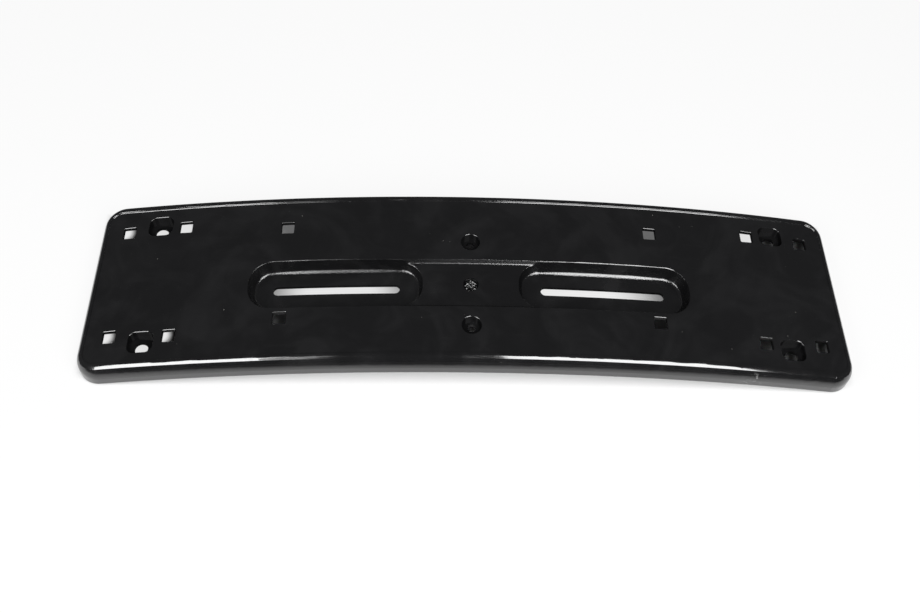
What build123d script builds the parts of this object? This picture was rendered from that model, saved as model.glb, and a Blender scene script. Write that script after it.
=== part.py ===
from build123d import *
from math import asin, cos, degrees, hypot, radians, sin, sqrt, tan
import os

# Number plate holder: one arched moulding, lying face up.
# X runs along the plate's length, Y up the plate, Z out of the face at the middle.
# The origin is under the middle, on the plane that the two ends stand on.

# Seat that the plate lies in, and the bead round it
seat_length = 518.4
seat_height = 125.0
seat_corner_radius = 9.2
bead_height = 1.0
bead_edge_radius = 0.5

# Rim outside the seat: a tight round off the bead, then a wide round down the flank
end_margin = 5.2
side_margin = 7.65
corner_radius = 17.0
rim_radius = 3.6
flank_radius = 12.0
flank_rise = 2.67
draft_angle = 1.0

# Arch and wall
arch_radius = 1464.4
skirt_depth = 13.6
wall = 2.4

# Middle line of the pockets, the band and the middle screws
axis_y = -7.3

# Two long pockets, each with a slot right through its floor
pocket_x = 92.3
pocket_length = 121.9
pocket_width = 38.5
pocket_corner_radius = 17.0
pocket_depth = 9.0
pocket_wall_slope = 24.0
pocket_floor_radius = 2.5
slot_length = 87.3
slot_width = 6.8

# Shallow band that joins the pockets
band_depth = 2.6
band_wall_slope = 40.0
band_floor_radius = 1.2

# Square holes by the ends: how far in from the end, the upper edge and the lower edge of the seat
end_squares = [(15.8, 18.7, 19.9), (56.9, 17.1, 18.2)]

# Square holes by the pockets: how far out from the pocket's middle, above and below it
pocket_square_out = 36.5
pocket_square_above = 47.6
pocket_square_below = 27.0

# Shape of every square hole
square_size = 9.2
square_corner_radius = 0.9
square_wall_slope = 10.0

# Corner recesses, in from the end and the edge of the seat, each with a screw hole in its floor
recess_end_inset = 38.4
recess_edge_inset = 14.6
recess_length = 17.5
recess_width = 15.5
recess_corner_radius = 5.0
recess_depth = 5.5
corner_hole_diameter = 9.0
corner_hole_drop = 2.2

# Middle screw holes, above and below the middle line
screw_offset = 33.8
counterbore_diameter = 13.2
counterbore_depth = 4.4
screw_hole_diameter = 5.5

# Gate mark: a round dimple with the stub of the sprue in it
gate_diameter = 10.8
gate_depth = 1.6
stub_diameter = 6.4
stub_height = 2.4
stub_edge_radius = 0.5

# Round on the mouths of the openings in the face
mouth_radius = 0.6

# Ribs across the back
inner_rib_x = 21.0
rib_thickness = 2.0
rib_depth = 12.0

# How far a cutting form stands past the face that it cuts, and how near a surface counts as on it
over = 1.0
tolerance = 0.01

# Sizes that follow from the seat and the arch
length = seat_length + 2 * end_margin
height = seat_height + 2 * side_margin
lower_radius = arch_radius - skirt_depth
crest_radius = arch_radius + bead_height
flank_top_radius = crest_radius + flank_rise
arch_axis_z = -sqrt(lower_radius**2 - (length / 2) ** 2)
overall_height = arch_axis_z + crest_radius

# Places that follow from the seat and the pockets
recess_x = seat_length / 2 - recess_end_inset
recess_y = seat_height / 2 - recess_edge_inset
square_places = [
    (pocket_x + pocket_square_out, axis_y + pocket_square_above),
    (pocket_x + pocket_square_out, axis_y - pocket_square_below),
]
for end_inset, upper_inset, lower_inset in end_squares:
    square_places.append((seat_length / 2 - end_inset, seat_height / 2 - upper_inset))
    square_places.append((seat_length / 2 - end_inset, lower_inset - seat_height / 2))
inmost_end_square_x = min(x for x, y in square_places[2:])
outer_rib_x = (pocket_x + pocket_length / 2 + wall + inmost_end_square_x - square_size / 2) / 2


def face_z(x):
    """Height of the face over the standing plane at this place along the length."""
    return arch_axis_z + sqrt(arch_radius**2 - x**2)


def face_plane(x, y):
    """The plane that touches the arched face at this place."""
    lean = asin(x / arch_radius)
    return Plane(origin=(x, y, face_z(x)), x_dir=(cos(lean), 0, -sin(lean)), z_dir=(sin(lean), 0, cos(lean)))


def arch_core(radius):
    """The round core that an arched surface of this radius lies on."""
    with BuildPart() as core:
        with BuildSketch(Plane.XZ):
            with Locations((0, arch_axis_z)):
                Circle(radius)
        extrude(amount=height, both=True)
    return core.part


def flanked_block(inset):
    """The drafted block of the outline, with the wide round down its flanks, drawn in by inset all round."""
    top_core = arch_core(flank_top_radius - inset)
    with BuildPart() as block:
        with BuildSketch():
            RectangleRounded(length - 2 * inset, height - 2 * inset, corner_radius - inset)
        extrude(amount=overall_height + flank_rise + over, taper=draft_angle)
        add(top_core, mode=Mode.INTERSECT)
        top = block.faces().filter_by(GeomType.CYLINDER).sort_by(Axis.Z)[-1]
        fillet(top.edges(), flank_radius - inset)
    return block.part


def pocket_form(grow):
    """The right pocket, with sloped walls and a floor that follows the arch.

    With grow it is the outside of the tub round the pocket, as thick as grow.
    """
    slope = radians(pocket_wall_slope)
    rim = over * tan(slope) + grow / cos(slope)
    sag = (pocket_length / 2) ** 2 / arch_radius
    floor_core = arch_core(arch_radius - pocket_depth - grow)
    with BuildPart() as form:
        with BuildSketch(face_plane(pocket_x, axis_y).offset(over)):
            RectangleRounded(pocket_length + 2 * rim, pocket_width + 2 * rim, pocket_corner_radius + rim)
        extrude(amount=-(over + pocket_depth + grow + sag), taper=pocket_wall_slope)
        add(floor_core, mode=Mode.SUBTRACT)
        floor = form.faces().filter_by(GeomType.CYLINDER).sort_by(SortBy.AREA)[-1]
        fillet(floor.edges(), pocket_floor_radius + grow)
    return form.part


def band_form(top, grow):
    """The band between the pockets: its section from top down to its floor, swung about the arch's axis.

    With grow it is the panel behind the band, as thick as grow.
    """
    spread = tan(radians(band_wall_slope))
    half_top = pocket_width / 2 + grow + top * spread
    half_floor = pocket_width / 2 + grow - (band_depth + grow) * spread
    z_top = face_z(0) + top
    z_floor = face_z(0) - band_depth - grow
    swing = degrees(asin(pocket_x / arch_radius))
    arch_axis = Axis((0, 0, arch_axis_z), (0, 1, 0))
    with BuildPart() as form:
        with BuildSketch(Plane.YZ):
            with BuildLine():
                Polyline(
                    (axis_y - half_top, z_top),
                    (axis_y + half_top, z_top),
                    (axis_y + half_floor, z_floor),
                    (axis_y - half_floor, z_floor),
                    close=True,
                )
            make_face()
        revolve(axis=arch_axis, revolution_arc=2 * swing)
        floor = form.faces().filter_by(GeomType.CYLINDER).sort_by(SortBy.AREA)[0]
        fillet(floor.edges().filter_by(GeomType.CIRCLE), band_floor_radius + grow)
    return form.part.rotate(arch_axis, -swing)


def is_mouth(edge):
    """Whether an edge is the mouth of an opening: on the arched face, and clear of the bead's foot."""
    on_face = all(
        abs(hypot(point.X, point.Z - arch_axis_z) - arch_radius) < tolerance
        for point in (edge @ 0, edge @ 0.5, edge @ 1)
    )
    middle = edge @ 0.5
    return on_face and abs(middle.X) < seat_length / 2 - over and abs(middle.Y) < seat_height / 2 - over


def is_band_mouth(edge):
    """Whether a mouth edge runs along the band, from one pocket to the other."""
    return is_mouth(edge) and abs((edge @ 0.5).X) < over


def is_clear_of_pockets(edge):
    """Whether an edge lies above or below the pockets and the band."""
    return abs(edge.center().Y - axis_y) > pocket_width / 2 + over


# Round cores under each arched surface
crest_core = arch_core(crest_radius)
face_core = arch_core(arch_radius)
mid_wall_core = arch_core(arch_radius - wall / 2)
underside_core = arch_core(arch_radius - wall)
rib_core = arch_core(arch_radius - rib_depth)
lower_core = arch_core(lower_radius)

# Outside of the shell, the middle of its wall, and its inside
outer_block = flanked_block(0)
mid_wall_block = flanked_block(wall / 2)
inner_block = flanked_block(wall)

# Pocket, and the tub behind it
pocket = pocket_form(0)
tub = pocket_form(wall)

# Band, and the panel behind it
band = band_form(over, 0)
band_panel = band_form(0, wall)

# Space inside the skirt and under the face
with BuildPart() as hollow:
    add(inner_block)
    add(underside_core, mode=Mode.INTERSECT)

# Space that the plate lies in
with BuildPart() as seat:
    with BuildSketch():
        RectangleRounded(seat_length, seat_height, seat_corner_radius)
    extrude(amount=overall_height + over)
    add(face_core, mode=Mode.SUBTRACT)

# Punches for the square holes, narrower towards the back
with BuildPart() as punches:
    for x, y in square_places:
        mouth = square_size + 2 * over * tan(radians(square_wall_slope))
        with BuildSketch(Plane.XY.offset(face_z(x) + over)):
            with Locations((x, y), (-x, y)):
                RectangleRounded(mouth, mouth, square_corner_radius)
        extrude(amount=-2 * (over + wall), taper=square_wall_slope)

# Everything that stands behind the face: ribs, tubs, recess cups, screw bosses and the band's panel
with BuildPart() as backing:
    with BuildSketch():
        for rib_x in (inner_rib_x, outer_rib_x):
            with GridLocations(2 * rib_x, 0, 2, 1):
                Rectangle(rib_thickness, height)
    extrude(amount=overall_height)
    add(rib_core, mode=Mode.SUBTRACT)
    add(tub)
    mirror(tub, about=Plane.YZ)
    with BuildSketch(Plane.XY.offset(face_z(recess_x) - recess_depth - wall)):
        with GridLocations(2 * recess_x, 2 * recess_y, 2, 2):
            RectangleRounded(recess_length + 2 * wall, recess_width + 2 * wall, recess_corner_radius + wall)
    extrude(amount=recess_depth + wall)
    with BuildSketch(Plane.XY.offset(face_z(0) - counterbore_depth - wall)):
        with Locations((0, axis_y + screw_offset), (0, axis_y - screw_offset)):
            Circle(counterbore_diameter / 2 + wall)
    extrude(amount=counterbore_depth + wall)
    add(band_panel)
    add(mid_wall_core, mode=Mode.INTERSECT)
    add(mid_wall_block, mode=Mode.INTERSECT)

with BuildPart() as plate_holder:
    # Block with rounded flanks, cut to the bead's crest above and to the arched lower edge below
    add(outer_block)
    add(crest_core, mode=Mode.INTERSECT)
    add(lower_core, mode=Mode.SUBTRACT)
    crest = plate_holder.faces().filter_by(GeomType.CYLINDER).sort_by(Axis.Z)[-1]
    fillet(crest.edges(), rim_radius)

    # Hollow back, and the seat inside the bead
    add(hollow.part, mode=Mode.SUBTRACT)
    add(seat.part, mode=Mode.SUBTRACT)
    crest = plate_holder.faces().filter_by(GeomType.CYLINDER).sort_by(Axis.Z)[-1]
    fillet(crest.inner_wires().edges(), bead_edge_radius)
    add(backing.part)

    # Pockets and the band between them, with rounded mouths, and the slots in the pockets' floors
    add(pocket, mode=Mode.SUBTRACT)
    mirror(pocket, about=Plane.YZ, mode=Mode.SUBTRACT)
    fillet(plate_holder.edges().filter_by(is_mouth), mouth_radius)
    add(band, mode=Mode.SUBTRACT)
    fillet(plate_holder.edges().filter_by(is_band_mouth), mouth_radius)
    with BuildSketch():
        with Locations((pocket_x, axis_y), (-pocket_x, axis_y)):
            SlotOverall(slot_length, slot_width)
    extrude(amount=overall_height, mode=Mode.SUBTRACT)

    # Square holes, corner recesses and middle screw holes, all with rounded mouths
    add(punches.part, mode=Mode.SUBTRACT)
    with BuildSketch(Plane.XY.offset(face_z(recess_x) - recess_depth)):
        with GridLocations(2 * recess_x, 2 * recess_y, 2, 2):
            RectangleRounded(recess_length, recess_width, recess_corner_radius)
    extrude(amount=overall_height, mode=Mode.SUBTRACT)
    with BuildSketch():
        with Locations((0, -corner_hole_drop)):
            with GridLocations(2 * recess_x, 2 * recess_y, 2, 2):
                Circle(corner_hole_diameter / 2)
    extrude(amount=overall_height, mode=Mode.SUBTRACT)
    with Locations((0, axis_y + screw_offset, face_z(0)), (0, axis_y - screw_offset, face_z(0))):
        CounterBoreHole(screw_hole_diameter / 2, counterbore_diameter / 2, counterbore_depth)
    fillet(plate_holder.edges().filter_by(is_mouth).filter_by(is_clear_of_pockets), mouth_radius)

    # Gate mark in the band's floor
    gate_floor = face_z(0) - band_depth - gate_depth
    with BuildSketch(Plane.XY.offset(gate_floor)):
        with Locations((0, axis_y)):
            Circle(gate_diameter / 2)
    extrude(amount=gate_depth + over, mode=Mode.SUBTRACT)
    with BuildSketch(Plane.XY.offset(gate_floor)):
        with Locations((0, axis_y)):
            Circle(stub_diameter / 2)
    extrude(amount=stub_height)
    stub_top = plate_holder.faces().filter_by(GeomType.PLANE).sort_by(Axis.Z)[-1]
    fillet(stub_top.edges(), stub_edge_radius)

plate_holder.part.label = "plate_holder"
os.makedirs("parts", exist_ok=True)
export_step(plate_holder.part, "parts/plate_holder.step")
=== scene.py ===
from math import radians

import bpy
from mathutils import Matrix, Vector

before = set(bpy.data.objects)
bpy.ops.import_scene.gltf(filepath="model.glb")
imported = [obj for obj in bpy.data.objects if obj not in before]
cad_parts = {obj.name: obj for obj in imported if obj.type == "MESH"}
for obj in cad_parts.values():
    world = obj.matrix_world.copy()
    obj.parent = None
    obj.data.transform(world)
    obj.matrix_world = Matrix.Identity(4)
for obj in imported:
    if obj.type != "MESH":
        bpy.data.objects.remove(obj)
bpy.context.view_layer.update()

# Number plate holder in glossy black plastic, lying face up on a pale floor.
# The shape is the moulded part as drawn; this script gives it its surface, the light and the camera.
# Lengths are in metres, angles in degrees and powers in watts.

# Face of the holder: its arch, the seat, the strip with the pockets and the band, and the gate
ARCH_RADIUS = 1.4644
ARCH_AXIS_Z = -1.426504
SEAT_HALF_SIDES = (0.2575, 0.0610)
STRIP_AXIS_Y = -0.0073
STRIP_HALF_WIDTH = 0.0215
GATE_PLACE = (0.0, STRIP_AXIS_Y, 0.0350)

# Camera
CAMERA_PLACE = (-0.033456, -0.388820, 0.613401)
CAMERA_ELEVATION = 57.770
CAMERA_AZIMUTH = 4.067
CAMERA_ROLL = 4.262
CAMERA_LENS_MM = 39.637
CAMERA_SENSOR_MM = 36.0
CAMERA_REACH = (0.01, 50.0)

# Floor: its colour, its colours in reflections near and far, and its share of white for the camera
FLOOR_SIZE = 40.0
FLOOR_COLOUR = (0.85, 0.85, 0.85, 1.0)
NEAR_FLOOR_IN_GLOSS = (0.52, 0.52, 0.52, 1.0)
FAR_FLOOR_IN_GLOSS = (0.05, 0.05, 0.05, 1.0)
GLOSS_FADE = (0.0, 0.10)
FLOOR_WHITE = 0.88
FOOTPRINT_HALF_SIDES = (0.262, 0.067)
FOOTPRINT_FADE = 0.008

# Painted pools of light on the floor under the holder, seen through its holes: bright radius, dark radius
# and share of white, then the places that they are painted on. Under the slots the painted pools are
# narrower across the holder.
PAINTED_SLOT_LIGHT_SQUEEZE = Vector((1.0, 3.0, 1.0))
PAINTED_LIGHT_UNDER_SLOTS = [
    ((0.020, 0.062, 0.75), [(-0.092, 0.008)]),
    ((0.028, 0.085, 0.80), [(0.072, 0.008)]),
]
PAINTED_LIGHT_UNDER_HOLES = [
    ((0.004, 0.010, 0.80), [(-0.254, 0.057), (-0.254, -0.032), (-0.215, -0.030)]),
    ((0.005, 0.012, 0.75), [(-0.211, 0.062), (0.212, 0.062)]),
    ((0.004, 0.009, 0.75), [(-0.226, 0.056), (-0.226, -0.040)]),
    ((0.008, 0.016, 0.12), [(-0.136, 0.061), (0.138, 0.061)]),
]

# Softboxes: name, place, width, length, power
SOFTBOXES = [
    ("softbox_left", (-0.67, -0.58, 0.75), 0.46, 0.93, 9.0),
    ("softbox_left_edge", (-0.38, -0.58, 0.75), 0.16, 0.93, 0.6),
    ("softbox_right", (0.40, -0.58, 0.75), 0.58, 0.93, 11.2),
]
SOFTBOX_AIM = (0.0, 0.0, 0.03)
ROOM_COLOUR = (0.05, 0.05, 0.052, 1.0)

# Plastic: its colours, and its gloss on the face, under handling film and in the recesses
PLASTIC_DARK = (0.0045, 0.0045, 0.0048, 1.0)
PLASTIC_HAZE = (0.0110, 0.0110, 0.0115, 1.0)
PLASTIC_IOR = 1.75
COAT_IOR = 1.75
COAT_ROUGHNESS = 0.09
CLEAN_ROUGHNESS = 0.07
SMUDGED_ROUGHNESS = 0.20
SMUDGE_RANGE = (0.1, 0.9)
GRAIN_ROUGHNESS = 0.10
COAT_ON_GRAIN = 0.7
FULL_SHINE = 0.5
DIM_SHINE = 0.12

# Where a recess begins under the face, how upright a steep wall's normal is, and the reach of the gate
SUNK_DEPTHS = (0.00003, 0.0004)
STEEP_NORMALS = (0.62, 0.78)
GATE_RADII = (0.0040, 0.0052)

# Handling film of swirls, clouds and wipe marks, each with its noise, the range that shows and its share
SWIRL_NOISE = {"scale": 17.0, "detail": 5.0, "distortion": 2.2}
SWIRL_RANGE = (0.42, 0.68)
SWIRL_SHARE = 0.55
CLOUD_NOISE = {"scale": 46.0, "detail": 6.0, "distortion": 1.2}
CLOUD_RANGE = (0.40, 0.75)
CLOUD_SHARE = 0.30
WIPE_TURN_RADIANS = 0.5
WIPE_STRETCH = (30.0, 420.0, 30.0)
WIPE_NOISE = {"scale": 1.0, "detail": 3.0, "distortion": 0.4}
WIPE_RANGE = (0.60, 0.74)
WIPE_SHARE = 0.15

# Dust in a few cells of a pattern, with radii as shares of a cell, and a scuff on the near skirt
DUST_COLOUR = (0.30, 0.29, 0.27, 1.0)
DUST_CELLS = 210.0
DUST_RARITY = 0.95
DUST_RADII = (0.035, 0.075)
SCUFF_COLOUR = (0.20, 0.20, 0.20, 1.0)
SCUFF_PLACE = (0.190, -0.0690, 0.0150)
SCUFF_RADII = (0.004, 0.012)
SCUFF_NOISE = {"scale": 420.0, "detail": 4.0, "distortion": 1.0}
SCUFF_RANGE = (0.58, 0.66)

# Relief, as strength and depth: ripple all over, grain in the strip, the torn gate stub, and wipe marks
RIPPLE_NOISE = {"scale": 120.0, "detail": 2.0}
RIPPLE_BUMP = (0.25, 0.00006)
GRAIN_NOISE = {"scale": 1500.0, "detail": 3.0}
GRAIN_BUMP = (0.9, 0.00016)
TORN_CELLS = 700.0
TORN_BUMP = (1.0, 0.0012)
WIPE_BUMP = (0.2, 0.00002)

# Sockets of a Mix node that mixes colours, which share their names with its other sockets
MIX_FIRST = 6
MIX_SECOND = 7
MIX_RESULT = 2


def link(obj):
    bpy.context.scene.collection.objects.link(obj)
    return obj


class Graph:
    """Adds nodes to a node tree and joins them."""

    def __init__(self, tree):
        self.tree = tree
        tree.nodes.clear()

    def add(self, kind, sockets=None, **settings):
        """A node of this kind. sockets maps an input to a constant or to another node's output."""
        node = self.tree.nodes.new("ShaderNode" + kind)
        for name, value in settings.items():
            setattr(node, name, value)
        for key, value in (sockets or {}).items():
            if isinstance(value, bpy.types.NodeSocket):
                self.tree.links.new(value, node.inputs[key])
            else:
                node.inputs[key].default_value = value
        return node

    def math(self, operation, first, second=0.0):
        return self.add("Math", {0: first, 1: second}, operation=operation).outputs[0]

    def ramp(self, value, span, at_low=0.0, at_high=1.0):
        """value over its span from low to high, mapped to at_low and at_high and held outside the span."""
        low, high = span
        sockets = {"Value": value, "From Min": low, "From Max": high, "To Min": at_low, "To Max": at_high}
        return self.add("MapRange", sockets, interpolation_type="SMOOTHSTEP").outputs[0]

    def noise(self, vector, scale, detail, distortion=0.0):
        sockets = {"Vector": vector, "Scale": scale, "Detail": detail, "Distortion": distortion}
        return self.add("TexNoise", sockets).outputs["Fac"]

    def cells(self, vector, scale):
        return self.add("TexVoronoi", {"Vector": vector, "Scale": scale})

    def blend(self, share, first, second):
        """The first colour where share is 0, the second where it is 1."""
        sockets = {"Factor": share, MIX_FIRST: first, MIX_SECOND: second}
        return self.add("Mix", sockets, data_type="RGBA").outputs[MIX_RESULT]

    def axes(self, vector):
        return self.add("SeparateXYZ", {0: vector}).outputs

    def away(self, vector, centre):
        """Distance from a fixed point."""
        return self.add("VectorMath", {0: vector, 1: centre}, operation="DISTANCE").outputs["Value"]

    def past_sides(self, vector, half_sides):
        """How far a point lies past the sides of a rectangle round the origin, along X and along Y."""
        place = self.axes(vector)
        return [
            self.math("SUBTRACT", self.math("ABSOLUTE", place[axis]), half_side)
            for axis, half_side in zip("XY", half_sides)
        ]

    def bump(self, height, relief, normal=None):
        strength, depth = relief
        sockets = {"Height": height, "Strength": strength, "Distance": depth}
        if normal:
            sockets["Normal"] = normal
        return self.add("Bump", sockets).outputs[0]


def new_material(name):
    material = bpy.data.materials.new(name)
    material.use_nodes = True
    return material, Graph(material.node_tree)


def add_camera():
    data = bpy.data.cameras.new("camera")
    data.lens = CAMERA_LENS_MM
    data.sensor_width = CAMERA_SENSOR_MM
    data.clip_start, data.clip_end = CAMERA_REACH
    camera = link(bpy.data.objects.new("camera", data))
    turn = (
        Matrix.Rotation(radians(-CAMERA_AZIMUTH), 4, "Z")
        @ Matrix.Rotation(radians(90.0 - CAMERA_ELEVATION), 4, "X")
        @ Matrix.Rotation(radians(CAMERA_ROLL), 4, "Z")
    )
    camera.matrix_world = Matrix.Translation(CAMERA_PLACE) @ turn
    bpy.context.scene.camera = camera


def add_softbox(name, place, width, length, power):
    """A softbox that faces the holder, with its long side across the holder's length."""
    data = bpy.data.lights.new(name, "AREA")
    data.shape = "RECTANGLE"
    data.size, data.size_y = width, length
    data.energy = power
    light = link(bpy.data.objects.new(name, data))
    back = (Vector(place) - Vector(SOFTBOX_AIM)).normalized()
    long_side = back.cross(Vector((1, 0, 0))).normalized()
    wide_side = long_side.cross(back)
    turn = Matrix((wide_side, long_side, back)).transposed().to_4x4()
    light.matrix_world = Matrix.Translation(place) @ turn


def add_painted_light_pools(g, white_share, where, painted_pools, squeeze=Vector((1.0, 1.0, 1.0))):
    """The share of white, raised round the places of the painted pools of light."""
    squeezed = g.add("VectorMath", {0: where, 1: squeeze}, operation="MULTIPLY").outputs[0]
    for (bright, dark, share), places in painted_pools:
        for x, y in places:
            distance = g.away(squeezed, Vector((x, y, 0.0)) * squeeze)
            # A painted pool of light: white for the camera, fading out between the bright and dark radii
            painted_pool = g.ramp(distance, (bright, dark), share, 0.0)
            white_share = g.math("MAXIMUM", white_share, painted_pool)
    return white_share


def floor_material():
    """Pale matt floor, brought to white for the camera outside the holder's own outline, with painted pools
    of light under its holes.
    """
    material, g = new_material("pale_floor")
    where = g.add("TexCoord").outputs["Object"]
    past_x, past_y = g.past_sides(where, FOOTPRINT_HALF_SIDES)
    past = g.math("MAXIMUM", past_x, past_y)
    white_share = g.ramp(past, (0.0, FOOTPRINT_FADE), 0.0, FLOOR_WHITE)
    # Painted pools of light on the floor under the slots and holes, which the camera sees through them
    white_share = add_painted_light_pools(g, white_share, where, PAINTED_LIGHT_UNDER_SLOTS, PAINTED_SLOT_LIGHT_SQUEEZE)
    white_share = add_painted_light_pools(g, white_share, where, PAINTED_LIGHT_UNDER_HOLES)
    path = g.add("LightPath").outputs
    white_share = g.math("MULTIPLY", white_share, path["Is Camera Ray"])

    paper = g.add("BsdfDiffuse", {"Color": FLOOR_COLOUR}).outputs[0]
    near_gloss = g.add("BsdfDiffuse", {"Color": NEAR_FLOOR_IN_GLOSS}).outputs[0]
    far_gloss = g.add("BsdfDiffuse", {"Color": FAR_FLOOR_IN_GLOSS}).outputs[0]
    white = g.add("Emission", {"Strength": 1.0}).outputs[0]
    gloss = g.add("MixShader", {0: g.ramp(past_y, GLOSS_FADE), 1: near_gloss, 2: far_gloss}).outputs[0]
    seen = g.add("MixShader", {0: path["Is Glossy Ray"], 1: paper, 2: gloss}).outputs[0]
    lifted = g.add("MixShader", {0: white_share, 1: seen, 2: white}).outputs[0]
    g.add("OutputMaterial", {"Surface": lifted})
    return material


def add_floor():
    half = FLOOR_SIZE / 2
    corners = [(-half, -half, 0), (half, -half, 0), (half, half, 0), (-half, half, 0)]
    mesh = bpy.data.meshes.new("floor")
    mesh.from_pydata(corners, [], [(0, 1, 2, 3)])
    mesh.materials.append(floor_material())
    link(bpy.data.objects.new("floor", mesh))


def set_room():
    world = bpy.data.worlds.new("room")
    world.use_nodes = True
    world.node_tree.nodes["Background"].inputs["Color"].default_value = ROOM_COLOUR
    bpy.context.scene.world = world


def depth_under_face(g, where):
    """How deep a point lies under the arched face."""
    place = g.axes(where)
    over_axis = g.math("SUBTRACT", place["Z"], ARCH_AXIS_Z)
    spoke = g.add("CombineXYZ", {"X": place["X"], "Z": over_axis}).outputs[0]
    radius = g.add("VectorMath", {0: spoke}, operation="LENGTH").outputs["Value"]
    return g.math("SUBTRACT", ARCH_RADIUS, radius)


def recess_masks(g, where):
    """Where the grainy pockets and band are, and where holes, recesses and steep walls shine less."""
    past_x, past_y = g.past_sides(where, SEAT_HALF_SIDES)
    in_seat = g.math("LESS_THAN", g.math("MAXIMUM", past_x, past_y), 0.0)
    sunk = g.math("MULTIPLY", g.ramp(depth_under_face(g, where), SUNK_DEPTHS), in_seat)
    off_axis = g.math("ABSOLUTE", g.math("SUBTRACT", g.axes(where)["Y"], STRIP_AXIS_Y))
    in_strip = g.math("LESS_THAN", off_axis, STRIP_HALF_WIDTH)
    grainy = g.math("MULTIPLY", sunk, in_strip)
    elsewhere = g.math("SUBTRACT", sunk, grainy)
    upright = g.axes(g.add("NewGeometry").outputs["Normal"])["Z"]
    steep = g.math("MULTIPLY", g.ramp(upright, STEEP_NORMALS, 1.0, 0.0), grainy)
    return grainy, g.math("MAXIMUM", elsewhere, steep)


def wipe_marks(g, where):
    """Fine streaks in one direction."""
    turn = (0.0, 0.0, WIPE_TURN_RADIANS)
    wiped = g.add("Mapping", {"Vector": where, "Rotation": turn, "Scale": WIPE_STRETCH}).outputs[0]
    return g.ramp(g.noise(wiped, **WIPE_NOISE), WIPE_RANGE)


def handling_film(g, where, wipes):
    """How thick the film of handling marks is, from 0 to 1."""
    swirls = g.ramp(g.noise(where, **SWIRL_NOISE), SWIRL_RANGE)
    clouds = g.ramp(g.noise(where, **CLOUD_NOISE), CLOUD_RANGE)
    film = g.math("ADD", g.math("MULTIPLY", swirls, SWIRL_SHARE), g.math("MULTIPLY", clouds, CLOUD_SHARE))
    return g.math("ADD", film, g.math("MULTIPLY", wipes, WIPE_SHARE))


def marked_colour(g, where, film):
    """The plastic's colour with its film, specks of dust and the scuff."""
    cells = g.cells(where, DUST_CELLS).outputs
    chance = g.add("SeparateColor", {0: cells["Color"]}).outputs[0]
    rare = g.math("GREATER_THAN", chance, DUST_RARITY)
    dust = g.math("MULTIPLY", g.ramp(cells["Distance"], DUST_RADII, 1.0, 0.0), rare)
    near_scuff = g.ramp(g.away(where, SCUFF_PLACE), SCUFF_RADII, 1.0, 0.0)
    scuff = g.math("MULTIPLY", g.ramp(g.noise(where, **SCUFF_NOISE), SCUFF_RANGE), near_scuff)
    colour = g.blend(film, PLASTIC_DARK, PLASTIC_HAZE)
    colour = g.blend(dust, colour, DUST_COLOUR)
    return g.blend(scuff, colour, SCUFF_COLOUR)


def fine_relief(g, where, grainy, wipes):
    """The normal with its ripple, grain, torn gate stub and wipe marks."""
    at_gate = g.ramp(g.away(where, GATE_PLACE), GATE_RADII, 1.0, 0.0)
    torn = g.math("MULTIPLY", g.cells(where, TORN_CELLS).outputs["Distance"], at_gate)
    grain = g.math("MULTIPLY", g.noise(where, **GRAIN_NOISE), grainy)
    normal = g.bump(g.noise(where, **RIPPLE_NOISE), RIPPLE_BUMP)
    normal = g.bump(grain, GRAIN_BUMP, normal)
    normal = g.bump(torn, TORN_BUMP, normal)
    return g.bump(wipes, WIPE_BUMP, normal)


def black_plastic():
    """Glossy black plastic with handling marks, grainy in the pockets and the band."""
    material, g = new_material("black_plastic")
    where = g.add("TexCoord").outputs["Object"]
    grainy, dim = recess_masks(g, where)
    wipes = wipe_marks(g, where)
    film = handling_film(g, where, wipes)
    normal = fine_relief(g, where, grainy, wipes)
    polish = g.ramp(film, SMUDGE_RANGE, CLEAN_ROUGHNESS, SMUDGED_ROUGHNESS)
    coat = g.ramp(grainy, (0.0, 1.0), 1.0, COAT_ON_GRAIN)
    skin = g.add(
        "BsdfPrincipled",
        {
            "Base Color": marked_colour(g, where, film),
            "Roughness": g.math("ADD", polish, g.math("MULTIPLY", grainy, GRAIN_ROUGHNESS)),
            "IOR": PLASTIC_IOR,
            "Specular IOR Level": g.ramp(dim, (0.0, 1.0), FULL_SHINE, DIM_SHINE),
            "Coat Weight": g.math("SUBTRACT", coat, dim),
            "Coat IOR": COAT_IOR,
            "Coat Roughness": COAT_ROUGHNESS,
            "Normal": normal,
            "Coat Normal": normal,
        },
    )
    g.add("OutputMaterial", {"Surface": skin.outputs[0]})
    return material


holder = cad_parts["plate_holder"]
holder.data.materials.clear()
holder.data.materials.append(black_plastic())

add_camera()
add_floor()
set_room()
for softbox in SOFTBOXES:
    add_softbox(*softbox)

bpy.context.scene.view_settings.view_transform = "Standard"
